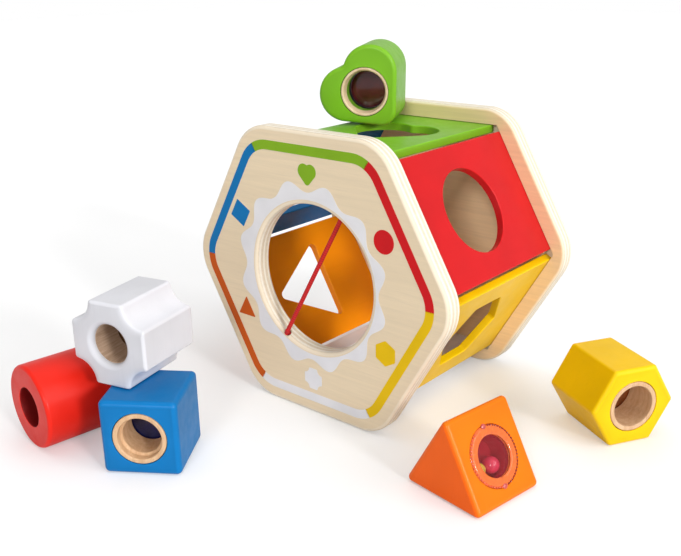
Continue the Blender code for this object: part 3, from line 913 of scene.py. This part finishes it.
def make_plates(drum):
    outline = polygon_outline(6, PLATE_APOTHEM, 0, PLATE_CORNER_RADIUS, 16)
    half = PLATE_THICKNESS / 2
    groove_outer = polygon_outline(6, BOARD_APOTHEM + GAP, 0, 0.3, 2)
    groove_inner = polygon_outline(6, BOARD_APOTHEM - BOARD_THICKNESS - GAP, 0, 0.3, 2)
    window = circle_outline(WINDOW_RADIUS, 120)
    for name, side, windowed in (("front_plate", -1, True), ("rear_plate", 1, False)):
        solid = Solid()
        top, bottom = solid.wall(outline, round_profile(half, PLATE_ROUNDING))
        inner, outer = (bottom, top) if side < 0 else (top, bottom)
        rim, floor = side * half, side * (half - GROOVE_DEPTH)
        lip, foot = solid.wall(groove_outer, [(0, rim), (0, floor)])
        core_lip, core_foot = solid.wall(groove_inner, [(0, rim), (0, floor)])
        solid.cap(inner, lip)
        solid.cap(foot, core_foot)
        window_front, window_back = (), ()
        if windowed:
            window_front, window_back = solid.wall(hole(window), round_profile(half, WINDOW_ROUNDING))
        solid.cap(outer, window_front)
        solid.cap(core_lip, window_back)
        mesh = solid.mesh()
        place = face_place(drum, half if windowed else DRUM_DEPTH - half)
        if windowed:
            mesh = drill_cord_holes(mesh, drum, place)
        add_piece("plate_" + name.split("_")[0], mesh, PLYWOOD[name], place, "drum", [name])


def drill_cord_holes(mesh, drum, place):
    for angle, depth in ((CORD_LOWER_ANGLE, CORD_LOWER_DEPTH), (CORD_UPPER_ANGLE, CORD_UPPER_DEPTH)):
        mouth, back = cord_ends(angle, depth)
        axis = (back - mouth).normalized()
        start, end = mouth - axis, back + axis * 4
        radius, half = CORD_HOLE_RADIUS, (end - start).length / 2
        profile = [(0, half), (radius, half), (radius, 3 - half), (radius + 1, -half), (0, -half)]
        drill = lathe_mesh(profile, steps=24)
        turn = axis.to_track_quat("Z", "Y").to_matrix().to_4x4()
        world = drum @ Matrix.Translation((start + end) / 2 * MM) @ turn
        mesh = carve(mesh, drill, place.inverted() @ world)
    return mesh


def board_holes():
    """The outline of each board's hole."""
    corner = HOLE_CORNER_RADIUS
    return {
        "green": heart_outline(HEART_CLEARANCE),
        "red": circle_outline(CIRCLE_HOLE_RADIUS),
        "yellow": polygon_outline(6, HEXAGON_HOLE_RADIUS * math.cos(math.radians(30)), 90, corner),
        "white": cross_outline(CROSS_HOLE_SIDE, CROSS_SCOOP - 0.8, 0.4),
        "orange": polygon_outline(3, TRIANGLE_HOLE_SIDE / (2 * math.sqrt(3)), -90, corner),
        "blue": polygon_outline(4, SQUARE_HOLE_SIDE / 2, 45, corner),
    }


def make_boards(drum):
    length = DRUM_DEPTH - 2 * (PLATE_THICKNESS - GROOVE_DEPTH + GAP)
    outline = rectangle_outline(BOARD_WIDTH / 2, length / 2, 0.8)
    holes = board_holes()
    for side, name in enumerate(SIDES):
        depth = HEART_HOLE_DEPTH if name == "green" else HOLE_DEPTH
        opening = shifted(holes[name], depth - DRUM_DEPTH / 2)
        mesh = plate_mesh(outline, BOARD_THICKNESS / 2, BOARD_ROUNDING, [(opening, BOARD_ROUNDING)])
        place = along(drum @ turned(60 * side, "Y"), 0, DRUM_DEPTH / 2, BOARD_APOTHEM - BOARD_THICKNESS / 2)
        add_piece("side_" + name, mesh, PAINTS[name], place, "drum", ["board_" + name])


def shifted(outline, shift):
    return lambda inset: moved(outline(inset), 0, shift)


# Print on the front plate.


def add_print(name, rings, colour, drum):
    """A thin printed shape. Its first ring is its outline and the others are holes."""
    solid = Solid()
    profile = [(0, PRINT_PROUD), (0, -PRINT_PROUD)]
    solid.slab([(lambda inset, ring=ring: ring, profile) for ring in rings])
    place = face_place(drum, 0) @ Matrix.Translation(PRINT_SHIFT * MM)
    add_piece("print_" + name, solid.mesh(), INKS[colour], place, "drum")


def make_line(drum):
    """The line round the plate, one colour a side, changing at the middle of each corner."""
    half = LINE_WIDTH / 2
    corner = LINE_APOTHEM / math.cos(math.radians(30)) - LINE_CORNER_RADIUS / math.sin(math.radians(60))
    edges = []
    for radius in (LINE_CORNER_RADIUS + half, LINE_CORNER_RADIUS - half):
        trim = math.degrees(LINE_BREAK / 2 / radius)
        run = arc(corner / 2, corner * math.sin(math.radians(60)), radius, 60 - trim, 90, 8)
        edges.append(run + [(-x, y) for x, y in reversed(run)])
    ring = edges[0] + edges[1][::-1]
    for side, name in enumerate(SIDES):
        add_print("line_" + name, [turned_points(ring, -60 * side)], name, drum)


def make_scalloped_ring(drum):
    """The white ring round the window. It was printed a little off the window's centre."""
    points = []
    for i in range(360):
        angle = math.radians(i)
        lobe = 0.5 - 0.5 * math.cos(LOBE_COUNT * angle)
        radius = LOBE_FOOT_RADIUS + LOBE_HEIGHT * lobe**LOBE_SHARPNESS
        points.append((radius * math.cos(angle), radius * math.sin(angle)))
    inner = moved(polygon(120, WINDOW_RADIUS + WINDOW_ROUNDING + GAP, 0), -PRINT_SHIFT.x, -PRINT_SHIFT.y)
    add_print("ring", [moved(points, -1.0, 0.7), inner], "white", drum)


def make_icons(drum):
    """The small shape printed over each side: it names the hole in that side."""
    icons = {
        "green": [(x / 4, y / 4) for x, y in heart_outline()(0)],
        "red": polygon(64, 6.7, 0),
        "yellow": rounded(polygon(6, 7.7, 90), 1.2, 4),
        "white": cross_outline(13.4, 3.6, 0.6)(0),
        "orange": rounded(polygon(3, 8.3, 90), 0.4, 3),
        "blue": rounded(polygon(4, 8.5, 105), 0.4, 3),
    }
    for name, points in icons.items():
        add_print("icon_" + name, [moved(points, *ICON_PLACES[name])], name, drum)


# Blocks.


def block_place(body, centre, spin=0.0):
    """A block's frame: x to the right, y up and z out of the end that faces the front."""
    return Matrix.Translation(centre) @ turned(YAWS[body], "Z") @ turned(-spin, "Y") @ turned(90, "X")


def tube_profile(outer, inner, length, step_inner=None):
    """A liner with its mouth at the top, a lip round the mouth, and a step inside it if asked."""
    top = length / 2
    profile = [(outer, top), (outer, -top)]
    if step_inner:
        step = top - LINER_STEP_DEPTH
        profile += [(step_inner, -top), (step_inner, step), (inner, step)]
    else:
        profile += [(inner, -top)]
    return softened(profile + [(inner, top)], LIP, steps=4)


def add_lens(body, place, radius, colour, z=0.0):
    """A tinted disc with slightly domed faces."""
    half = LENS_THICKNESS / 2
    face = [(radius * t, half - LENS_CROWN * t**2) for t in (0.0, 0.25, 0.5, 0.75, 0.96)]
    profile = [*face, (radius, half - LENS_CROWN - 0.2)]
    mesh = lathe_mesh(profile + mirrored(profile))
    add_piece(body + "_disc", mesh, LENSES[colour], along(place, z=z), body, [body + "_lens"])


def bored_mesh(outline, length, rounding, bore, bore_y=0.0):
    """A block with rounded edges and a round bore. The bore is (radius, z) down its wall."""
    solid = Solid()
    circle = shifted(circle_outline(0.0), bore_y)
    solid.slab([(outline, round_profile(length / 2, rounding)), (hole(circle), bore)])
    return solid.mesh()


def straight_bore(radius, length, lip=0.4):
    """(radius, z) down a bore with slightly rounded mouths."""
    half = length / 2
    turns = (0, 0.8, math.pi / 2)
    top = [(radius + lip - lip * math.sin(t), half - lip + lip * math.cos(t)) for t in turns]
    return top + mirrored(top)


def make_heart():
    """The bore is nearer the heart's tip than the middle of its lobes, which is the block's own centre."""
    bore_place = block_place("heart", middle("heart_ring_front", "heart_ring_rear"), HEART_SPIN)
    place = along(bore_place, y=HEART_BORE_DROP)
    half = HEART_LENGTH / 2
    seat = half - RING_LENGTH - GAP
    rim = LINER_OUTER + GAP
    shade_start = half - HEART_SHADE_DEPTH
    bore = [(rim, half), (rim, seat), (LINER_INNER, seat), (LINER_INNER, shade_start)]
    bore += mirrored(bore)
    mesh = bored_mesh(heart_outline(), HEART_LENGTH, BLOCK_ROUNDING, bore, -HEART_BORE_DROP)

    # Painted shade: the middle of the bore's wall, away from both ends, takes a near-black finish for the
    # shade in it.
    def pick(x, y, z):
        return int(math.hypot(x, y + HEART_BORE_DROP) < LINER_INNER + GAP and abs(z) < shade_start)

    add_piece("heart_body", mesh, (BLOCK_PAINTS["green"], BORE_SHADE), place, "heart", ["heart_block"],
              pick=pick)
    top = RING_LENGTH / 2
    outer, inner = LINER_OUTER, LINER_INNER
    profile = [(outer, top), (outer, -top), (inner, -top), (inner, 0.3 - top), (inner + RING_FLARE, top)]
    ring = lathe_mesh(softened(profile, LIP, steps=4))
    for end, side in ENDS:
        ring_place = along(bore_place, z=side * (half - RING_LENGTH / 2), flip=side < 0)
        add_piece("heart_collar_" + end, ring.copy(), RING_WOOD, ring_place, "heart", ["heart_ring_" + end])
    add_lens("heart", bore_place, LINER_INNER - GAP, "red", reach_along(bore_place, "heart_lens"))


def make_lined(body, outline, length, rounding, colour, step, lens):
    """The cube and the hexagonal block: a through bore, lined with wood from both ends."""
    place = block_place(body, middle(body + "_block"))
    mesh = bored_mesh(outline, length, rounding, straight_bore(LINER_OUTER + GAP, length))
    add_piece(body + "_body", mesh, BLOCK_PAINTS[colour], place, body, [body + "_block"])
    liner_length = (length - LENS_THICKNESS) / 2 - GAP
    liner = lathe_mesh(tube_profile(LINER_OUTER, LINER_INNER, liner_length, step))
    for end, side in ENDS:
        z = side * (length - liner_length) / 2
        add_piece(body + "_lining_" + end, liner.copy(), LINER_WOOD, along(place, z=z, flip=side < 0), body,
                  [body + "_liner_" + end])
    add_lens(body, place, LINER_OUTER, lens)


def make_cross():
    place = block_place("cross", middle("cross_block"))
    half, flare = BLOCK_LENGTH / 2, CROSS_BORE_ROUNDING
    upper = [(CROSS_BORE + flare * (1 - math.sin(t)), half - flare * (1 - math.cos(t)))
             for t in (math.radians(90 * i / 8) for i in range(9))]
    outline = cross_outline(CROSS_SIDE, CROSS_SCOOP, CROSS_ROUNDING)
    mesh = bored_mesh(outline, BLOCK_LENGTH, CROSS_ROUNDING, upper + mirrored(upper))
    add_piece("cross_body", mesh, BLOCK_PAINTS["white"], place, "cross", ["cross_block"])
    outer = CROSS_BORE - GAP
    for end, side in ENDS:
        node = "cross_sleeve_" + end
        snug, inner, top = CROSS_BORE - 0.05, outer - SLEEVE_WALL, sleeve_length(place, node, outer) / 2
        profile = [(snug, top), (snug, -top), (inner, -top), (snug - SLEEVE_LIP, top)]
        tube_place = along(place, z=reach_along(place, node), flip=side < 0)
        mesh = lathe_mesh(profile)
        add_piece("cross_tube_" + end, mesh, SLEEVE_WOOD, tube_place, "cross", [node])
    add_lens("cross", place, outer, "brown")


def sleeve_length(place, node, radius):
    """A round sleeve's length along a frame's z, from its box and its radius."""
    low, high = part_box(node)
    slope = place.col[2].x
    return ((high.x - low.x) / MM - 2 * radius * math.sqrt(1 - slope**2)) / abs(slope)


def make_cylinder():
    place = block_place("cylinder", middle("cylinder_block"))
    half = BLOCK_LENGTH / 2
    outer = arc(CYLINDER_RADIUS - CYLINDER_ROUNDING, half - CYLINDER_ROUNDING, CYLINDER_ROUNDING, 90, 0, 7)
    inner = arc(CYLINDER_BORE + LIP, half - LIP, LIP, 180, 90, 4)
    mesh = lathe_mesh(outer + mirrored(outer) + mirrored(inner) + inner, steps=96)

    # Painted shade: the bore's wall takes a darker red, for the shade inside it.
    def pick(x, y, z):
        return int(math.hypot(x, y) < CYLINDER_BORE + LIP / 4)

    add_piece("cylinder_body", mesh, (BLOCK_PAINTS["red"], RED_BORE_SHADE), place, "cylinder", ["cylinder_block"],
              pick=pick)
    add_lens("cylinder", place, CYLINDER_BORE - GAP, "red")


def make_rattle():
    low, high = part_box("triangle_block")
    inradius = TRIANGLE_SIDE / (2 * math.sqrt(3))
    centre = Vector(((low.x + high.x) / 2, (low.y + high.y) / 2, low.z + inradius * MM))
    place = block_place("triangle", centre)
    outline = polygon_outline(3, inradius, 90, BLOCK_ROUNDING)
    mesh = plate_mesh(outline, TRIANGLE_LENGTH / 2, BLOCK_ROUNDING)
    face = along(turned(30, "Z"), inradius, -CAVITY_DROP) @ turned(90, "Y")
    depth, recess, rim = CAVITY_DEPTH, CAP_RECESS + GAP, CAP_RADIUS + GAP
    profile = [(0, recess), (rim, recess), (rim, -recess)]
    profile += [(CAVITY_RADIUS, -recess), (CAVITY_RADIUS, -depth), (0, -depth)]
    socket = lathe_mesh(profile)
    mesh = carve(mesh, socket, face)
    inward = face.inverted()

    def pick(x, y, z):
        # The end faces take a redder, deeper orange: painted shade.
        if abs(z) > TRIANGLE_LENGTH / 2 - END_SHADE_REACH:
            return 2
        point = inward @ (Vector((x, y, z)) * MM) / MM
        return int(math.hypot(point.x, point.y) < CAVITY_RADIUS + GAP and -depth - GAP < point.z < -recess)

    add_piece("triangle_body", mesh, (BLOCK_PAINTS["orange"], CAVITY, ORANGE_END_SHADE), place, "triangle",
              ["triangle_block"], pick=pick)
    make_cap(place @ face)


def make_cap(window):
    """The clear cap: a domed pane, a flange with a knurled rim, and a lug at each end of the slope."""
    seat = along(window, z=-CAP_RECESS)
    skirt, top = CAVITY_RADIUS - GAP, CAP_THICKNESS
    inner = skirt - CAP_SKIRT_WALL
    crown = [(PANE_RADIUS * t, top - 0.15 - 0.35 * t**2) for t in (0, 0.3, 0.6, 0.85, 1.0)]
    flange = [crown[-1], (PANE_RADIUS + 0.7, top), (CAP_RADIUS - 1.3, top), (CAP_RADIUS, top - 0.9),
              (CAP_RADIUS, 0), (skirt, 0), (skirt, -CAP_SKIRT_LENGTH), (inner, -CAP_SKIRT_LENGTH),
              (inner, 0)]
    profile = crown[:-1] + softened(flange, 0.3, closed=False) + [(0, 0.15)]
    mesh = lathe_mesh(profile, steps=96)
    add_piece("window_cap", mesh, (CLEAR, FLANGE), seat, "triangle", ["rattle_cap"],
              pick=lambda x, y, z: int(math.hypot(x, y) > PANE_RADIUS))
    # The same ribs in two tones round the rim: dark ones on one side as painted shade, light ones on the
    # other as a painted highlight.
    for name, start, finish in (("shaded_ribs", 80, SHADED_RIB), ("lit_ribs", 280, LIT_RIB)):
        angles = [start - RIB_PITCH * i for i in range(RIB_COUNT)]
        add_bumps(name, angles, CAP_RADIUS - 0.45, top - 0.25, 0.5, (0.9, 1.05, 0.9), finish, seat)
    add_bumps("lugs", LUG_ANGLES, CAP_RADIUS - 0.4, top - 0.1, 1.0, (1.4, 1.6, 0.6), LUG, seat)


def add_bumps(name, angles, distance, height, radius, scale, finish, seat):
    """Small rounded bumps round the cap. Their scale is radial, tangential and along the axis."""
    work = bmesh.new()
    for angle in angles:
        spot = along(turned(angle, "Z"), distance, 0, height)
        made = bmesh.ops.create_uvsphere(work, u_segments=14, v_segments=8, radius=radius * MM)
        bmesh.ops.scale(work, vec=scale, verts=made["verts"])
        bmesh.ops.transform(work, matrix=spot, verts=made["verts"])
    name = "window_cap_" + name
    add_piece(name, mesh_of(work), finish, seat, "triangle")


def make_beads():
    """Moulded beads, each with the fine seam its mould leaves."""
    for colour in BEADS:
        low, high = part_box("bead_" + colour)
        radius = (high.z - low.z) / 2 / MM
        profile = []
        for i in range(49):
            angle = math.radians(90 - 180 * i / 48)
            seam = 0.05 * math.exp(-((angle / 0.05) ** 2))
            profile.append(((radius + seam) * math.cos(angle), (radius + seam) * math.sin(angle)))
        profile[0], profile[-1] = (0.0, radius), (0.0, -radius)
        place = Matrix.Translation((low + high) / 2) @ turned(35, "X")
        mesh = lathe_mesh(profile, steps=48)
        add_piece("rattle_bead_" + colour, mesh, BEADS[colour], place, colour + "_bead",
                  ["bead_" + colour])


# Studio.


def add_sun(name, direction, spread, share):
    """A distant lamp. Share is how much of its full brightness it gives a white surface that faces it."""
    data = bpy.data.lights.new(name, "SUN")
    data.angle = math.radians(spread)
    data.energy = math.pi * share
    lamp = bpy.data.objects.new(name, data)
    lamp.visible_glossy = name in GLOSSY_SUNS
    bpy.context.scene.collection.objects.link(lamp)
    lamp.rotation_euler = Vector(direction).to_track_quat("Z", "Y").to_euler()


def make_studio():
    scene = bpy.context.scene
    scene.view_settings.view_transform = "Standard"
    world = bpy.data.worlds.new("studio")
    world.use_nodes = True
    nodes = Nodes(world.node_tree)
    background = world.node_tree.nodes["Background"].inputs
    rays = nodes.add("LightPath").outputs
    strength = nodes.range(rays["Is Glossy Ray"], 0.0, 1.0, AMBIENT, REFLECTED)
    strength = nodes.range(rays["Is Camera Ray"], 0.0, 1.0, strength, 1.0)
    nodes.feed(background["Color"], (1.0, 1.0, 1.0, 1.0))
    nodes.feed(background["Strength"], strength)
    scene.world = world
    work = bmesh.new()
    bmesh.ops.create_grid(work, x_segments=8, y_segments=8, size=FLOOR_REACH)
    mesh = mesh_of(work)
    mark_surface(mesh)
    f = Finish("floor")
    paper = (FLOOR_GREY, FLOOR_GREY, FLOOR_GREY)
    f.set("Base Color", f.tones(f.noise(0.002, 3.0), paper, 1.0, 1.02))
    f.set("Emission Color", (1.0, 1.0, 1.0, 1.0))
    f.set("Roughness", 0.85)
    seen = f.add("LightPath").outputs["Is Camera Ray"]
    f.set("Emission Strength", f.math("MULTIPLY", seen, FLOOR_GLOW))
    mesh.materials.append(f.material)
    floor = bpy.data.objects.new("floor", mesh)
    scene.collection.objects.link(floor)
    for name, direction, spread, share in SUNS:
        add_sun(name, direction, spread, share)


ELASTIC_RED = braid("braided_elastic", (220, 12, 20))
PLYWOOD = {"front_plate": plywood("plywood_front", -1.0), "rear_plate": plywood("plywood_rear", 1.0)}
PAINTS = {name: paint("paint_" + name, colour) for name, colour in COLOURS.items()}
BLOCK_PAINTS = {name: paint("block_" + name, colour, peel=0.3) for name, colour in BLOCK_COLOURS.items()}
INKS = {name: print_ink("ink_" + name, colour) for name, colour in PRINT_COLOURS.items()}
# Painted shade for the cylinder's bore.
RED_BORE_SHADE = paint("bore_red_painted_shade", (118, 14, 14), roughness=0.5)
# Painted shade for the deep middle of the heart's bore.
BORE_SHADE = paint("bore_painted_shade", (26, 24, 28), roughness=0.6)
CAVITY = paint("cavity", (176, 24, 44), roughness=0.4)
# Painted shade: the triangle's end faces a redder orange than its slopes.
ORANGE_END_SHADE = paint("orange_end_painted_shade", (252, 101, 3), peel=0.3)
RING_WOOD = wood("ring_wood", (234, 210, 176), (214, 184, 146), (0.5, 0.05, 0.5))
LINER_WOOD = wood("liner_wood", (226, 190, 150), (204, 160, 118), (0.5, 0.05, 0.5))
SLEEVE_WOOD = wood("sleeve_wood", (196, 168, 144), (164, 134, 108), (1.2, 1.2, 0.05))
LENSES = {
    "red": tinted("lens_red", (96, 30, 34)),
    "blue": tinted("lens_blue", (20, 30, 90)),
    "amber": tinted("lens_amber", (150, 84, 44)),
    "brown": tinted("lens_brown", (120, 84, 56)),
}
CLEAR = clear_plastic("clear_plastic")
FLANGE = frosted("cap_flange", (230, 106, 38))
# Rib tones: painted shade on one side of the rim, a painted highlight on the other.
SHADED_RIB = frosted("cap_shaded_rib", (138, 28, 26))
LIT_RIB = frosted("cap_lit_rib", (222, 92, 62))
LUG = frosted("cap_lug", (196, 76, 70))
BEADS = {"pink": moulded("bead_pink", (230, 60, 92)), "yellow": moulded("bead_yellow", (245, 212, 70))}

plate_low, plate_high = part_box("front_plate")
DRUM = Matrix.Translation(((plate_low.x + plate_high.x) / 2, plate_low.y, (plate_low.z + plate_high.z) / 2))

make_camera(DRUM)
make_elastic(DRUM)
make_plates(DRUM)
make_boards(DRUM)
make_line(DRUM)
make_scalloped_ring(DRUM)
make_icons(DRUM)
make_heart()
make_lined("cube", polygon_outline(4, CUBE_SIDE / 2, 45, CUBE_ROUNDING), CUBE_SIDE, CUBE_ROUNDING, "blue",
           LINER_STEP, "blue")
make_lined("hexagon", polygon_outline(6, HEXAGON_RADIUS * math.cos(math.radians(30)), 0, HEXAGON_ROUNDING),
           BLOCK_LENGTH, HEXAGON_ROUNDING, "yellow", None, "amber")
make_cross()
make_cylinder()
make_rattle()
make_beads()
make_studio()
